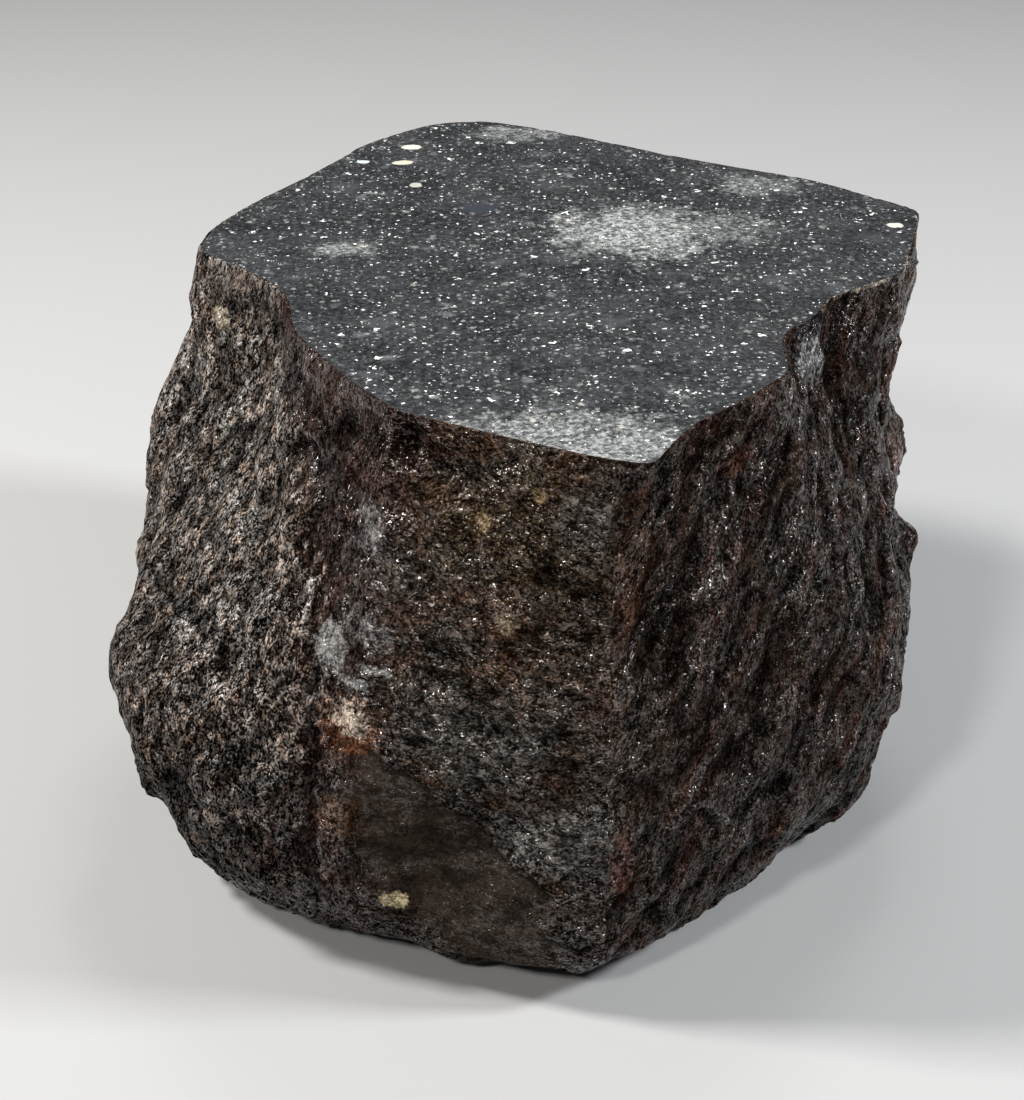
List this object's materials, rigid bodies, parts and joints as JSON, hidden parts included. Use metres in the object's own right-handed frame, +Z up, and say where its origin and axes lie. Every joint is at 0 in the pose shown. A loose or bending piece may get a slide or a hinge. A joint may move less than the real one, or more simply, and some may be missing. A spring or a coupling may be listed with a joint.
{
  "type": "stone meteorite",
  "caption": "Heavy dark stone meteorite with broken, ridged sides, cut across with a flat polished face on top; stands on a small flat underneath.",
  "frame": {"origin": "under the middle of the stone's box, on the surface that it stands on", "axes": "+Z up, out of the sawn face; +Y to the back, along the stone's longest way; -Y the front, with the sharp upright edge; +X the right"},
  "size_m": [0.1678, 0.191, 0.112],
  "materials": {
    "stone": "broken stone, dark brown and half glossy on the front and right, grey and granular on the left, with a polished dark grey sawn face full of pale grains and bright metal flecks"
  },
  "bodies": {
    "root": {"meteorite": "stone"}
  },
  "joints": []
}
